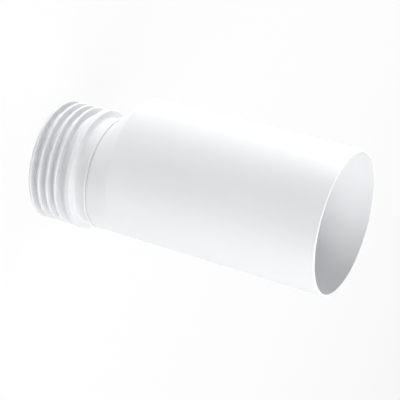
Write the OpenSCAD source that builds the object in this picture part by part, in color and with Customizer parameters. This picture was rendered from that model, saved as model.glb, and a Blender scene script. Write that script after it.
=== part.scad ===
// Offset extension for a toilet pan connector, standing on its finned end with the open mouth up.
// A rigid white pipe body steps sideways and down in size to a spigot, and a soft finned seal
// is stretched over that spigot. Z runs along the pipe, and X is the way the finned end is offset.

/* [Plain tube] */
// Outside diameter of the plain tube at its mouth
tube_od = 110; // [108:0.5:125]
// Outside diameter of the plain tube at the crease, a little less for mould draft
crease_od = 107; // [106:0.5:108]
// Wall thickness of the rigid body
wall = 3.3; // [2.5:0.1:4]
// Overall length, from the finned end to the mouth
total_len = 238; // [180:1:400]
// Depth of the straight socket that takes the fins of the next connector
socket_depth = 60; // [40:1:100]
// Radius of the rounded outer edge of the mouth
lip_r = 1.4; // [0.4:0.1:2]
// Width of the small chamfer inside the mouth
mouth_chamfer = 0.4; // [0.2:0.1:1.2]
// Width of the ledge at the foot of the socket, where the next connector stops
stop_ledge = 1; // [0.5:0.1:2]

/* [Offset reducer] */
// Outside diameter at the shoulder, where the reducer meets the seal
shoulder_od = 86; // [84:0.5:96]
// Height of the shoulder above the finned end
shoulder_z = 47.9; // [46:0.1:60]
// Length of the sloping reducer, from the shoulder to the plain tube
reducer_len = 20; // [15:0.5:40]
// Length of the short straight land under the slope
shoulder_land = 0.5; // [0.3:0.1:2]

/* [Spigot] */
// Outside diameter of the spigot that carries the seal
spigot_od = 76; // [70:0.5:78]
// Width of the groove that keeps the seal from sliding off
groove_w = 3; // [2:0.5:4]
// Depth of that groove
groove_depth = 0.8; // [0.4:0.1:1.2]
// Height of the middle of that groove
groove_z = 27.5; // [26:0.1:28]

/* [Finned seal] */
// Outside diameter of the sleeve between the fins
sleeve_od = 81; // [80:0.5:83]
// Outside diameter of the sealing fins
fin_od = 93; // [90:0.5:100]
// Number of sealing fins
fin_count = 4; // [2:1:4]
// Distance from one fin to the next
fin_pitch = 7.3; // [6:0.1:8]
// Thickness of a fin at its rim
fin_rim_t = 2.2; // [1.5:0.1:3]
// Thickness of a fin where it leaves the sleeve
fin_root_t = 3; // [2:0.1:4]
// Outside diameter of the thick stop collar
collar_od = 94; // [90:0.5:104]
// Thickness of the stop collar
collar_t = 4.4; // [3:0.1:6]
// Height of the stop collar's lower face
collar_z = 31.8; // [31:0.1:36]
// Radius of the concave fillet between the neck and the collar
neck_fillet = 2; // [1:0.1:3]
// Radius of the half-round bead that closes the sleeve against the shoulder
bead_r = 1.1; // [0.8:0.1:1.5]
// Height of the turned-in lip under the end of the spigot
end_lip_t = 2.4; // [1.5:0.1:4]
// Radius of the rounded corners on the rims
rim_r = 0.5; // [0.3:0.1:0.7]

/* [Hidden] */
$fn = 96;
eps = 0.01;
tube_r = tube_od / 2;
crease_r = crease_od / 2;
bore_r = tube_r - wall;
ledge_r = crease_r - wall;
shoulder_r = shoulder_od / 2;
spigot_r = spigot_od / 2;
outlet_r = spigot_r - wall;
sleeve_r = sleeve_od / 2;
// The finned end moves sideways until one line along the pipe stays straight
offset_x = crease_r - shoulder_r;
// Height of the crease between the reducer and the plain tube
crease_z = shoulder_z + shoulder_land + reducer_len;
// The funnel inside starts a little above the crease and ends a little below the shoulder
funnel_top_z = crease_z + wall / 2;
funnel_foot_z = shoulder_z - wall * 1.5;
// How far the inside cuts run past the ends they open
overrun = 5;

// Slanted cone between two level circles, the upper one moved along -X by offset_x
module slanted_cone(foot_r, top_r, height) {
    multmatrix([
        [1, 0, -offset_x / height, 0],
        [0, 1, 0, 0],
        [0, 0, 1, 0],
        [0, 0, 0, 1]
    ])
        cylinder(h = height, r1 = foot_r, r2 = top_r);
}

// Half section of a disc with rounded corners on its rim, from z = 0 to z = thickness
module rim_section(rim_radius, thickness, root_thickness, corner) {
    root_z = (thickness - root_thickness) / 2;
    polygon([
        [spigot_r + wall / 2, root_z],
        [sleeve_r, root_z],
        [rim_radius - corner, 0],
        [rim_radius - corner, thickness],
        [sleeve_r, root_z + root_thickness],
        [spigot_r + wall / 2, root_z + root_thickness]
    ]);
    translate([rim_radius - 2 * corner, corner])
        square([2 * corner, thickness - 2 * corner]);
    for (z = [corner, thickness - corner])
        translate([rim_radius - corner, z])
            circle(r = corner, $fn = 24);
}

// Outside of the plain tube, with its rounded edge at the mouth
module tube_outside() {
    height = total_len - crease_z;
    translate([-offset_x, 0, crease_z])
        rotate_extrude() {
            polygon([
                [0, 0],
                [crease_r, 0],
                [tube_r, height - lip_r],
                [tube_r - lip_r, height],
                [0, height]
            ]);
            translate([tube_r - lip_r, height - lip_r])
                circle(r = lip_r, $fn = 32);
        }
}

// Spigot below the shoulder, with the groove for the seal
module spigot_outside() {
    difference() {
        translate([0, 0, end_lip_t])
            cylinder(h = shoulder_z - end_lip_t + eps, r = spigot_r);
        translate([0, 0, groove_z - groove_w / 2])
            difference() {
                cylinder(h = groove_w, r = spigot_r + overrun);
                translate([0, 0, -eps])
                    cylinder(h = groove_w + 2 * eps, r = spigot_r - groove_depth);
            }
    }
}

// The way the water takes: socket, slanted funnel and outlet
module waterway() {
    ledge_z = funnel_top_z - stop_ledge / 2;
    socket_z = total_len - socket_depth;
    translate([-offset_x, 0, socket_z])
        cylinder(h = socket_depth + overrun, r = bore_r);
    translate([-offset_x, 0, ledge_z])
        cylinder(h = socket_z - ledge_z, r1 = ledge_r, r2 = bore_r);
    translate([-offset_x, 0, total_len - mouth_chamfer])
        cylinder(h = mouth_chamfer + eps, r1 = bore_r, r2 = bore_r + mouth_chamfer + eps);
    translate([0, 0, funnel_foot_z])
        slanted_cone(outlet_r, ledge_r - stop_ledge, funnel_top_z - funnel_foot_z);
    translate([0, 0, -overrun])
        cylinder(h = funnel_foot_z + overrun, r = outlet_r);
}

// Rigid moulding: plain tube, offset reducer, shoulder and spigot in one piece
module pipe_body() {
    color([0.95, 0.96, 0.97])
        difference() {
            union() {
                tube_outside();
                translate([0, 0, shoulder_z + shoulder_land])
                    slanted_cone(shoulder_r, crease_r, reducer_len);
                translate([0, 0, shoulder_z])
                    cylinder(h = shoulder_land + eps, r = shoulder_r);
                spigot_outside();
            }
            waterway();
        }
}

// Soft seal: sleeve, sealing fins, stop collar, closing bead and turned-in end lip in one piece
module finned_seal() {
    bead_z = shoulder_z - bead_r;
    color([0.9, 0.91, 0.92])
        rotate_extrude() {
            // Turned-in lip under the spigot, and the sleeve round it
            translate([outlet_r, 0])
                square([sleeve_r - outlet_r, end_lip_t]);
            translate([spigot_r, 0])
                square([sleeve_r - spigot_r, bead_z]);
            // Inner rib that sits in the groove of the spigot
            translate([spigot_r - groove_depth, groove_z - groove_w / 2])
                square([groove_depth + wall / 2, groove_w]);
            for (i = [0 : fin_count - 1])
                translate([0, i * fin_pitch])
                    rim_section(fin_od / 2, fin_rim_t, i == 0 ? fin_rim_t : fin_root_t, rim_r);
            translate([0, collar_z])
                rim_section(collar_od / 2, collar_t, collar_t, rim_r);
            // Concave fillet where the neck runs up to the collar
            translate([sleeve_r, collar_z + collar_t])
                difference() {
                    translate([-wall / 2, -wall / 2])
                        square(neck_fillet + wall / 2);
                    translate([neck_fillet, neck_fillet])
                        circle(r = neck_fillet, $fn = 48);
                }
            // Bead against the shoulder
            translate([spigot_r, bead_z - bead_r])
                square([shoulder_r - bead_r - spigot_r, 2 * bead_r]);
            translate([shoulder_r - bead_r, bead_z])
                circle(r = bead_r, $fn = 32);
        }
}

pipe_body();
finned_seal();
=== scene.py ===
"""Looks of an offset extension for a toilet pan connector, standing on its finned end.

A rigid white pipe body steps down and sideways to a spigot that carries a soft finned seal.
Sizes are in millimetres in the same frame as the solids, and become metres in the meshes.
Both pieces are sections swept round an upright axis by one Geometry Nodes rule, whose rings
may move sideways as they rise, which is what makes the slanted reducer.

Some small forms differ from the solids: the lead-in of the mouth, the thinner fins with soft
lower edges, the bead that stands proud of the shoulder, and the roundings of the corners.
"""
import math

import bpy
from mathutils import Matrix, Vector


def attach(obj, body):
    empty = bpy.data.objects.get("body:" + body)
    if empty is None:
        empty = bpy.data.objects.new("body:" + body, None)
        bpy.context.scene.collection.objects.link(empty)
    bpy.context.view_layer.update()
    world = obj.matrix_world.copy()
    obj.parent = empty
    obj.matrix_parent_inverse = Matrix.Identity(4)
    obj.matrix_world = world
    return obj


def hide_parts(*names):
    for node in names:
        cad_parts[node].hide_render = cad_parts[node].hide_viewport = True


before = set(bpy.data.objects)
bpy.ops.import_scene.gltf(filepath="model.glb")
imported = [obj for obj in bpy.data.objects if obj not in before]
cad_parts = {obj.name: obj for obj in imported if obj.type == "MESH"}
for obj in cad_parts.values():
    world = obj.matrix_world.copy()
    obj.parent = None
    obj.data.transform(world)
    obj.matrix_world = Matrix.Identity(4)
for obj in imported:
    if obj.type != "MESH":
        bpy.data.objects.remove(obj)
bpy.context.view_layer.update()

scene = bpy.context.scene
MM = 0.001

# ---------------------------------------------------------------- sizes, in millimetres
# Plain tube and its mouth
TOTAL_LENGTH = 238.0
MOUTH_R = 55.0
CREASE_R = 53.5
CREASE_Z = 68.4
WALL = 3.3
LIP_R = 1.4
SOCKET_R = MOUTH_R - WALL
SOCKET_DEPTH = 60.0
# Lead-in of the mouth: how far it opens, and over what depth. The solid has a small chamfer.
LEAD_IN = 1.5
LEAD_IN_DEPTH = 24.0

# Shoulder, slanted funnel and spigot
SHOULDER_R = 43.0
SHOULDER_Z = 47.9
SHOULDER_LAND = 0.5
OFFSET = CREASE_R - SHOULDER_R
SPIGOT_R = 38.0
OUTLET_R = SPIGOT_R - WALL
FUNNEL_TOP_Z = CREASE_Z + WALL / 2
FUNNEL_FOOT_Z = SHOULDER_Z - 1.5 * WALL
LEDGE = 1.0
GROOVE_DEPTH = 0.8
GROOVE_LOW = 26.0
GROOVE_HIGH = 29.0

# Seal: sleeve, fins, collar and bead. The solid's fins are 2.2 at the rim and 3.0 at the root.
SLEEVE_R = 40.5
FIN_R = 46.5
FIN_PITCH = 7.3
FIN_RIM = 1.9
FIN_ROOT = 2.6
REPEATED_FINS = 3
END_LIP = 2.4
COLLAR_R = 47.0
COLLAR_Z = 31.8
COLLAR_T = 4.4
COLLAR_TOP_Z = COLLAR_Z + COLLAR_T
BEAD_R = 1.15
BEAD_PROUD = 0.8
BEAD_FOOT_Z = SHOULDER_Z - 2 * BEAD_R

# Roundings of the pipe body's corners
EDGE = 0.3
SEAM_EDGE = 0.15
LAND_EDGE = 0.5
CREASE_ROUNDING = 2.5
LEAD_IN_BLEND = 160.0
SOCKET_FOOT_BLEND = 4.0
FUNNEL_FOOT_BLEND = 2.0

# Roundings of the seal's corners, 0 where two lengths of sleeve meet
FLUSH = 0
FIN_LOWER_EDGE = 1.1
FIN_UPPER_EDGE = 0.5
FIN_FILLET = 0.7
COLLAR_LOWER_EDGE = 0.8
COLLAR_UPPER_EDGE = 0.5
COLLAR_FILLET = 0.8
NECK_FILLET = 2.0
BEAD_UPPER_EDGE = 0.4
END_LIP_EDGE = 0.4

# How finely the sections and their rings are drawn
SEGMENTS = 256
DEGREES_PER_STEP = 15
FEWEST_STEPS = 3
SHARE_OF_SIDE = 0.48
SUPPORT = 0.2
# Points of one skin that lie closer than this, in metres, become one
SEAM_GAP = 0.00001


# ---------------------------------------------------------------- small helpers
def linear(hex_colour):
    """sRGB hex colour to the linear RGBA that Blender's sockets take."""
    out = []
    for i in (1, 3, 5):
        c = int(hex_colour[i:i + 2], 16) / 255
        out.append(c / 12.92 if c <= 0.04045 else ((c + 0.055) / 1.055) ** 2.4)
    return (*out, 1.0)


def add(tree, kind, inputs=None, **settings):
    """Adds a node, sets its properties, then fills or links its input sockets."""
    node = tree.nodes.new(kind)
    for name, value in settings.items():
        setattr(node, name, value)
    for key, value in (inputs or {}).items():
        socket = node.inputs[key]
        if isinstance(value, bpy.types.NodeSocket):
            tree.links.new(value, socket)
        else:
            socket.default_value = value
    return node


def show(name, data):
    """A new object in the scene, at the origin."""
    obj = bpy.data.objects.new(name, data)
    scene.collection.objects.link(obj)
    return obj


def empty_material(name):
    """A new material, and its node tree with nothing in it."""
    material = bpy.data.materials.new(name)
    material.use_nodes = True
    material.node_tree.nodes.clear()
    return material, material.node_tree


# ---------------------------------------------------------------- sections
def rounded_path(corners, closed):
    """Points along a chain of corners (axis x, radius, height, rounding), each corner rounded.

    A rounding takes less than half of either side. A support point on each side of it keeps
    the flat faces flat under smooth shading. A side must be longer than its two roundings and
    two supports. The shoulder's land isn't: its supports pass each other by about 0.2 mm, and
    the skin doubles back there.
    """
    count = len(corners)
    points = [Vector(c[:3]) for c in corners]
    path = []
    for i, corner in enumerate(corners):
        here, rounding = points[i], corner[3]
        at_an_end = not closed and i in (0, count - 1)
        if at_an_end or rounding <= 0:
            path.append(here)
            continue
        back = points[i - 1] - here
        ahead = points[(i + 1) % count] - here
        half = back.angle(ahead) / 2
        reach = min(rounding / math.tan(half),
                    back.length * SHARE_OF_SIDE, ahead.length * SHARE_OF_SIDE)
        radius = reach * math.tan(half)
        back.normalize()
        ahead.normalize()
        centre = here + (back + ahead).normalized() * (radius / math.sin(half))
        first = here + back * reach - centre
        last = here + ahead * reach - centre
        turn = math.pi - 2 * half
        steps = max(FEWEST_STEPS, round(math.degrees(turn) / DEGREES_PER_STEP))
        path.append(here + back * (reach + SUPPORT))
        for k in range(steps + 1):
            t = k / steps
            path.append(centre + (first * math.sin((1 - t) * turn) + last * math.sin(t * turn))
                        / math.sin(turn))
        path.append(here + ahead * (reach + SUPPORT))
    return path


def section_object(name, corners, closed):
    """A chain of points (axis x, radius, height), in metres, for the sweeping tree to read."""
    path = rounded_path(corners, closed)
    if closed:
        path.append(path[0])
    mesh = bpy.data.meshes.new(name)
    mesh.from_pydata([p * MM for p in path], [(i, i + 1) for i in range(len(path) - 1)], [])
    return show(name, mesh)


# ---------------------------------------------------------------- geometry trees
def geometry_tree(name, result, **kinds):
    """A new tree with named inputs and one geometry output, and its input node."""
    tree = bpy.data.node_groups.new(name, "GeometryNodeTree")
    for key, kind in kinds.items():
        tree.interface.new_socket(key.replace("_", " "), in_out="INPUT",
                                  socket_type="NodeSocket" + kind)
    tree.interface.new_socket(result, in_out="OUTPUT", socket_type="NodeSocketGeometry")
    return tree, add(tree, "NodeGroupInput")


def end_tree(tree, skin, given, result):
    """Ends a tree as the export needs it: real geometry that carries its material."""
    real = add(tree, "GeometryNodeRealizeInstances", {"Geometry": skin})
    finish = add(tree, "GeometryNodeSetMaterial", {
        "Geometry": real.outputs[0], "Material": given.outputs["Material"]})
    add(tree, "NodeGroupOutput", {result: finish.outputs[0]})


def sweeping_tree():
    """Turns a section into a skin: every section point becomes a level ring of its own centre."""
    tree, given = geometry_tree("rings from a section", "Skin", Section="Geometry",
                                Segments="Int", Seam_gap="Float", Material="Material")
    section = given.outputs["Section"]
    segments = given.outputs["Segments"]
    # A flat grid with a row for each section point and a column for each segment, and one over
    size = add(tree, "GeometryNodeAttributeDomainSize", {"Geometry": section}, component="MESH")
    rows = size.outputs["Point Count"]
    columns = add(tree, "ShaderNodeMath", {0: segments, 1: 1.0}, operation="ADD")
    grid = add(tree, "GeometryNodeMeshGrid", {
        "Size X": 1.0, "Size Y": 1.0, "Vertices X": columns.outputs[0], "Vertices Y": rows})
    index = add(tree, "GeometryNodeInputIndex").outputs[0]
    ratio = add(tree, "ShaderNodeMath", {0: index, 1: rows}, operation="DIVIDE")
    column = add(tree, "ShaderNodeMath", {0: ratio.outputs[0]}, operation="FLOOR")
    row = add(tree, "ShaderNodeMath", {0: index, 1: rows}, operation="MODULO")
    # The section point of this row: X is its ring's centre, Y its radius and Z its height
    position = add(tree, "GeometryNodeInputPosition")
    sample = add(tree, "GeometryNodeSampleIndex", {
        "Geometry": section, "Value": position.outputs[0], "Index": row.outputs[0]},
        data_type="FLOAT_VECTOR", domain="POINT")
    parts = add(tree, "ShaderNodeSeparateXYZ", {0: sample.outputs[0]})
    # The column's angle round the ring
    share = add(tree, "ShaderNodeMath", {0: column.outputs[0], 1: segments}, operation="DIVIDE")
    angle = add(tree, "ShaderNodeMath", {0: share.outputs[0], 1: math.tau}, operation="MULTIPLY")
    cosine = add(tree, "ShaderNodeMath", {0: angle.outputs[0]}, operation="COSINE")
    sine = add(tree, "ShaderNodeMath", {0: angle.outputs[0]}, operation="SINE")
    across = add(tree, "ShaderNodeMath", {
        0: parts.outputs["Y"], 1: cosine.outputs[0], 2: parts.outputs["X"]},
        operation="MULTIPLY_ADD")
    along = add(tree, "ShaderNodeMath", {0: parts.outputs["Y"], 1: sine.outputs[0]},
                operation="MULTIPLY")
    place = add(tree, "ShaderNodeCombineXYZ", {
        "X": across.outputs[0], "Y": along.outputs[0], "Z": parts.outputs["Z"]})
    moved = add(tree, "GeometryNodeSetPosition", {
        "Geometry": grid.outputs["Mesh"], "Position": place.outputs[0]})
    # The first and last columns lie on each other, and become one seam without a gap
    closed = add(tree, "GeometryNodeMergeByDistance", {
        "Geometry": moved.outputs[0], "Distance": given.outputs["Seam gap"]})
    smooth = add(tree, "GeometryNodeSetShadeSmooth", {"Geometry": closed.outputs[0]})
    end_tree(tree, smooth.outputs[0], given, "Skin")
    return tree


def stacking_tree():
    """Repeats one finned length of sleeve up the axis and joins it to the plain lengths."""
    tree, given = geometry_tree("stack of fins", "Seal", Plain_lengths="Geometry",
                                Finned_length="Object", Fins="Int", Pitch="Float",
                                Seam_gap="Float", Material="Material")
    step = add(tree, "ShaderNodeCombineXYZ", {"Z": given.outputs["Pitch"]})
    line = add(tree, "GeometryNodeMeshLine", {
        "Count": given.outputs["Fins"], "Offset": step.outputs[0]}, mode="OFFSET")
    length = add(tree, "GeometryNodeObjectInfo", {0: given.outputs["Finned length"]})
    copies = add(tree, "GeometryNodeInstanceOnPoints", {
        "Points": line.outputs[0], "Instance": length.outputs["Geometry"]})
    fins = add(tree, "GeometryNodeRealizeInstances", {"Geometry": copies.outputs[0]})
    joined = add(tree, "GeometryNodeJoinGeometry")
    tree.links.new(given.outputs["Plain lengths"], joined.inputs[0])
    tree.links.new(fins.outputs[0], joined.inputs[0])
    closed = add(tree, "GeometryNodeMergeByDistance", {
        "Geometry": joined.outputs[0], "Distance": given.outputs["Seam gap"]})
    end_tree(tree, closed.outputs[0], given, "Seal")
    return tree


def run_tree(obj, tree, name, material, **inputs):
    """Evaluates a tree on an object and keeps the result as a plain mesh object."""
    modifier = obj.modifiers.new("rule", "NODES")
    modifier.node_group = tree
    named = {s.name: s.identifier for s in tree.interface.items_tree if s.in_out == "INPUT"}
    for key, value in {**inputs, "Material": material, "Seam gap": SEAM_GAP}.items():
        modifier[named[key.replace("_", " ")]] = value
    graph = bpy.context.evaluated_depsgraph_get()
    mesh = bpy.data.meshes.new_from_object(obj.evaluated_get(graph))
    mesh.name = name
    obj.modifiers.remove(modifier)
    return show(name, mesh)


# ---------------------------------------------------------------- materials
# Flow marks run five times as long up the pipe as round it
FLOW_STRETCH = (1.0, 1.0, 0.2)
FLOW_DETAIL = 3.0
FLOW_ROUGHNESS = 0.55
GRAIN_DETAIL = 2.0
# How far the roughness swings along the flow marks, half of it either way
ROUGHNESS_SWING = 0.06
# White plastic lets red light in a little further than blue
GLOW_BY_COLOUR = (1.0, 0.97, 0.92)


def plastic(name, base, shade, roughness, ior, grain_mm, grain_depth_mm, flow_mm, glow, glow_mm):
    """Moulded white plastic: faint flow shading along the pipe and a fine tool grain."""
    material, tree = empty_material(name)
    where = add(tree, "ShaderNodeTexCoord").outputs["Object"]
    stretched = add(tree, "ShaderNodeMapping", {"Vector": where, "Scale": FLOW_STRETCH})
    flow = add(tree, "ShaderNodeTexNoise", {
        "Vector": stretched.outputs[0], "Scale": 1 / (flow_mm * MM), "Detail": FLOW_DETAIL,
        "Roughness": FLOW_ROUGHNESS})
    tint = add(tree, "ShaderNodeMix", {
        "Factor": flow.outputs[0], "A": linear(base), "B": linear(shade)}, data_type="RGBA")
    grain = add(tree, "ShaderNodeTexNoise", {
        "Vector": where, "Scale": 1 / (grain_mm * MM), "Detail": GRAIN_DETAIL})
    bump = add(tree, "ShaderNodeBump", {
        "Height": grain.outputs[0], "Strength": 1.0, "Distance": grain_depth_mm * MM})
    gloss = add(tree, "ShaderNodeMath", {
        0: flow.outputs[0], 1: ROUGHNESS_SWING, 2: roughness - ROUGHNESS_SWING / 2},
        operation="MULTIPLY_ADD")
    shader = add(tree, "ShaderNodeBsdfPrincipled", {
        "Base Color": tint.outputs["Result"], "Roughness": gloss.outputs[0], "IOR": ior,
        "Subsurface Weight": glow, "Subsurface Radius": GLOW_BY_COLOUR,
        "Subsurface Scale": glow_mm * MM, "Normal": bump.outputs[0]})
    add(tree, "ShaderNodeOutputMaterial", {"Surface": shader.outputs[0]})
    return material


# Polypropylene from a polished mould: bright, even white with a soft, broad highlight.
# Its real grain is too fine to show, so it is drawn 0.9 mm wide, and very shallow.
polypropylene = plastic("moulded white polypropylene", "#f4f5f6", "#f0f1f3", 0.30, 1.49,
                        grain_mm=0.9, grain_depth_mm=0.004, flow_mm=14, glow=0.35, glow_mm=3.0)
# Thermoplastic elastomer from a spark-eroded mould: the same white, with a satin surface.
# The real grain is a tenth of a millimetre or less, and is drawn 0.6 mm wide so that it shows.
elastomer = plastic("moulded white elastomer", "#f2f3f4", "#eeeff1", 0.46, 1.50,
                    grain_mm=0.6, grain_depth_mm=0.008, flow_mm=9, glow=0.3, glow_mm=1.5)

# ---------------------------------------------------------------- pipe body
# Round the wall: up the outside from the foot of the spigot, and down the inside
rings = sweeping_tree()
body_section = section_object("section of the pipe body", [
    (0, OUTLET_R, END_LIP, EDGE),
    (0, SPIGOT_R, END_LIP, EDGE),
    (0, SPIGOT_R, GROOVE_LOW, SEAM_EDGE),
    (0, SPIGOT_R - GROOVE_DEPTH, GROOVE_LOW, SEAM_EDGE),
    (0, SPIGOT_R - GROOVE_DEPTH, GROOVE_HIGH, SEAM_EDGE),
    (0, SPIGOT_R, GROOVE_HIGH, SEAM_EDGE),
    (0, SPIGOT_R, SHOULDER_Z, EDGE),
    (0, SHOULDER_R, SHOULDER_Z, SEAM_EDGE),
    (0, SHOULDER_R, SHOULDER_Z + SHOULDER_LAND, LAND_EDGE),
    (-OFFSET, CREASE_R, CREASE_Z, CREASE_ROUNDING),
    (-OFFSET, MOUTH_R, TOTAL_LENGTH, LIP_R),
    (-OFFSET, SOCKET_R + LEAD_IN, TOTAL_LENGTH, EDGE),
    (-OFFSET, SOCKET_R, TOTAL_LENGTH - LEAD_IN_DEPTH, LEAD_IN_BLEND),
    (-OFFSET, SOCKET_R, TOTAL_LENGTH - SOCKET_DEPTH, SOCKET_FOOT_BLEND),
    (-OFFSET, CREASE_R - WALL, FUNNEL_TOP_Z - LEDGE / 2, EDGE),
    (-OFFSET, CREASE_R - WALL - LEDGE, FUNNEL_TOP_Z - LEDGE / 2, EDGE),
    (0, OUTLET_R, FUNNEL_FOOT_Z, FUNNEL_FOOT_BLEND),
], closed=True)
pipe_body = run_tree(body_section, rings, "moulded_pipe_body", polypropylene,
                     Segments=SEGMENTS)

# ---------------------------------------------------------------- finned seal
# One length of sleeve with its fin, from the middle of the gap below to that of the gap above
LENGTH_FOOT_Z = (FIN_RIM + FIN_PITCH) / 2
ROOT_RISE = (FIN_ROOT - FIN_RIM) / 2
fin_section = section_object("section of one finned length", [
    (0, SLEEVE_R, LENGTH_FOOT_Z, FLUSH),
    (0, SLEEVE_R, FIN_PITCH - ROOT_RISE, FIN_FILLET),
    (0, FIN_R, FIN_PITCH, FIN_LOWER_EDGE),
    (0, FIN_R, FIN_PITCH + FIN_RIM, FIN_UPPER_EDGE),
    (0, SLEEVE_R, FIN_PITCH + FIN_RIM + ROOT_RISE, FIN_FILLET),
    (0, SLEEVE_R, FIN_PITCH + LENGTH_FOOT_Z, FLUSH),
], closed=False)
finned_length = run_tree(fin_section, rings, "finned length", elastomer, Segments=SEGMENTS)

# The rest of the seal: up the outside from the top fin, down the inside to the turned-in lip,
# and out round the first fin, which stands at the very end
plain_section = section_object("section of the plain lengths", [
    (0, SLEEVE_R, LENGTH_FOOT_Z + REPEATED_FINS * FIN_PITCH, FLUSH),
    (0, SLEEVE_R, COLLAR_Z, COLLAR_FILLET),
    (0, COLLAR_R, COLLAR_Z, COLLAR_LOWER_EDGE),
    (0, COLLAR_R, COLLAR_TOP_Z, COLLAR_UPPER_EDGE),
    (0, SLEEVE_R, COLLAR_TOP_Z, NECK_FILLET),
    (0, SLEEVE_R, BEAD_FOOT_Z, EDGE),
    (0, SHOULDER_R + BEAD_PROUD, BEAD_FOOT_Z, BEAD_R),
    (0, SHOULDER_R + BEAD_PROUD, SHOULDER_Z, BEAD_UPPER_EDGE),
    (0, SPIGOT_R, SHOULDER_Z, SEAM_EDGE),
    (0, SPIGOT_R, GROOVE_HIGH, SEAM_EDGE),
    (0, SPIGOT_R - GROOVE_DEPTH, GROOVE_HIGH, SEAM_EDGE),
    (0, SPIGOT_R - GROOVE_DEPTH, GROOVE_LOW, SEAM_EDGE),
    (0, SPIGOT_R, GROOVE_LOW, SEAM_EDGE),
    (0, SPIGOT_R, END_LIP, SEAM_EDGE),
    (0, OUTLET_R, END_LIP, END_LIP_EDGE),
    (0, OUTLET_R, 0, END_LIP_EDGE),
    (0, FIN_R, 0, FIN_LOWER_EDGE),
    (0, FIN_R, FIN_RIM, FIN_UPPER_EDGE),
    (0, SLEEVE_R, FIN_RIM, FIN_FILLET),
    (0, SLEEVE_R, LENGTH_FOOT_Z, FLUSH),
], closed=False)
plain_lengths = run_tree(plain_section, rings, "plain lengths", elastomer, Segments=SEGMENTS)
finned_seal = run_tree(plain_lengths, stacking_tree(), "moulded_finned_seal", elastomer,
                       Finned_length=finned_length, Fins=REPEATED_FINS, Pitch=FIN_PITCH * MM)
for helper in (body_section, fin_section, finned_length, plain_section, plain_lengths):
    bpy.data.objects.remove(helper)

for piece, node, slot in ((pipe_body, "pipe_body", "body_plastic"),
                          (finned_seal, "finned_seal", "seal_elastomer")):
    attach(piece, "root")
    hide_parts(node)

# ---------------------------------------------------------------- floor and world
WHITE = (1.0, 1.0, 1.0, 1.0)
# Share of plain white in what a direct look at the floor sees; the rest takes the shadow
FLOOR_WHITE_SHARE = 0.88
# Strength of the world as a light, and as a background, where 1 is white
WORLD_LIGHT = 0.07
WORLD_SEEN = 1.0
FLOOR_HALF_M = 12.0


def seen_directly(tree):
    """1 for camera, mirror and see-through rays, 0 for the rays that light the object."""
    path = add(tree, "ShaderNodeLightPath").outputs
    first = add(tree, "ShaderNodeMath", {0: path["Is Camera Ray"], 1: path["Is Glossy Ray"]},
                operation="MAXIMUM")
    both = add(tree, "ShaderNodeMath", {0: first.outputs[0], 1: path["Is Transmission Ray"]},
               operation="MAXIMUM")
    return both.outputs[0]


def pale_floor():
    """Matt white studio floor that reads white and still takes a faint shadow."""
    material, tree = empty_material("matt white studio floor")
    matt = add(tree, "ShaderNodeBsdfDiffuse", {"Color": linear("#f4f4f4")})
    glow = add(tree, "ShaderNodeEmission", {"Color": WHITE, "Strength": 1.0})
    weight = add(tree, "ShaderNodeMath", {0: seen_directly(tree), 1: FLOOR_WHITE_SHARE},
                 operation="MULTIPLY")
    mixed = add(tree, "ShaderNodeMixShader", {
        0: weight.outputs[0], 1: matt.outputs[0], 2: glow.outputs[0]})
    add(tree, "ShaderNodeOutputMaterial", {"Surface": mixed.outputs[0]})
    return material


floor_mesh = bpy.data.meshes.new("studio_floor")
floor_mesh.from_pydata([(x * FLOOR_HALF_M, y * FLOOR_HALF_M, 0.0)
                        for x, y in ((-1, -1), (1, -1), (1, 1), (-1, 1))], [], [(0, 1, 2, 3)])
floor_mesh.materials.append(pale_floor())
floor = show("studio_floor", floor_mesh)

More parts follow.
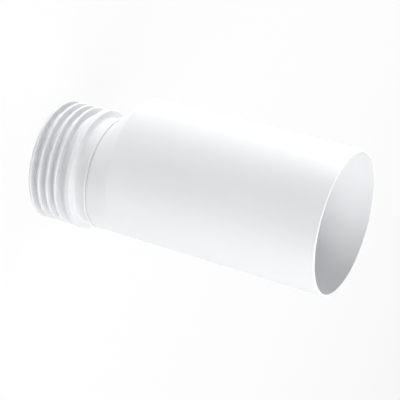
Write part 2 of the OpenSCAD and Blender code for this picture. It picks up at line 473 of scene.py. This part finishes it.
world = bpy.data.worlds.new("pale studio")
scene.world = world
world.use_nodes = True
sky = world.node_tree
sky.nodes.clear()
strength = add(sky, "ShaderNodeMapRange", {
    "Value": seen_directly(sky), "To Min": WORLD_LIGHT, "To Max": WORLD_SEEN})
background = add(sky, "ShaderNodeBackground", {"Color": WHITE, "Strength": strength.outputs[0]})
add(sky, "ShaderNodeOutputWorld", {"Surface": background.outputs[0]})

# ---------------------------------------------------------------- camera
# Rolled on its side, so that the upright part lies slanting across the picture
EYE = Vector((-25.49, -1152.01, 614.2)) * MM
FORWARD = Vector((0.0216, 0.91964, -0.39217)).normalized()
PICTURE_UP = Vector((-0.96464, -0.08391, -0.24988))
FIELD_OF_VIEW = 13.657
SENSOR = 36.0
NEAREST_SEEN_M = 0.05

camera_data = bpy.data.cameras.new("camera")
camera_data.sensor_width = SENSOR
camera_data.lens = SENSOR / 2 / math.tan(math.radians(FIELD_OF_VIEW / 2))
camera_data.clip_start = NEAREST_SEEN_M
camera = show("camera", camera_data)
picture_right = FORWARD.cross(PICTURE_UP).normalized()
picture_up = picture_right.cross(FORWARD)
camera.matrix_world = Matrix.Translation(EYE) @ Matrix(
    (picture_right, picture_up, -FORWARD)).transposed().to_4x4()
scene.camera = camera

# ---------------------------------------------------------------- lamps
# Every lamp is aimed at the middle of the part. Places and sizes are in metres, power in watts.
MIDDLE = Vector((-0.005, 0.0, 0.14))
LAMPS = (
    ("low strip on the plain side", (-1.0, 0.0, 0.10), (0.8, 0.16), 7.9),
    ("softbox behind the plain side", (-0.43, 0.735, 0.99), (0.9, 0.4), 6.6),
    ("softbox on the offset side", (0.86, -0.43, 0.99), (0.9, 0.4), 5.0),
    ("small softbox before the offset side", (0.55, -0.80, 0.66), (0.6, 0.4), 2.9),
    ("high softbox on the offset side", (0.6, 0.0, 1.18), (0.9, 0.4), 4.9),
    ("high softbox in front", (0.0, -0.41, 1.27), (0.9, 0.4), 2.3),
)
for name, place, (width, height), power in LAMPS:
    data = bpy.data.lights.new(name, "AREA")
    data.shape = "RECTANGLE"
    data.size, data.size_y = width, height
    data.energy = power
    lamp = show(name, data)
    lamp.location = place
    lamp.rotation_euler = (MIDDLE - Vector(place)).to_track_quat("-Z", "Y").to_euler()

scene.view_settings.view_transform = "Standard"
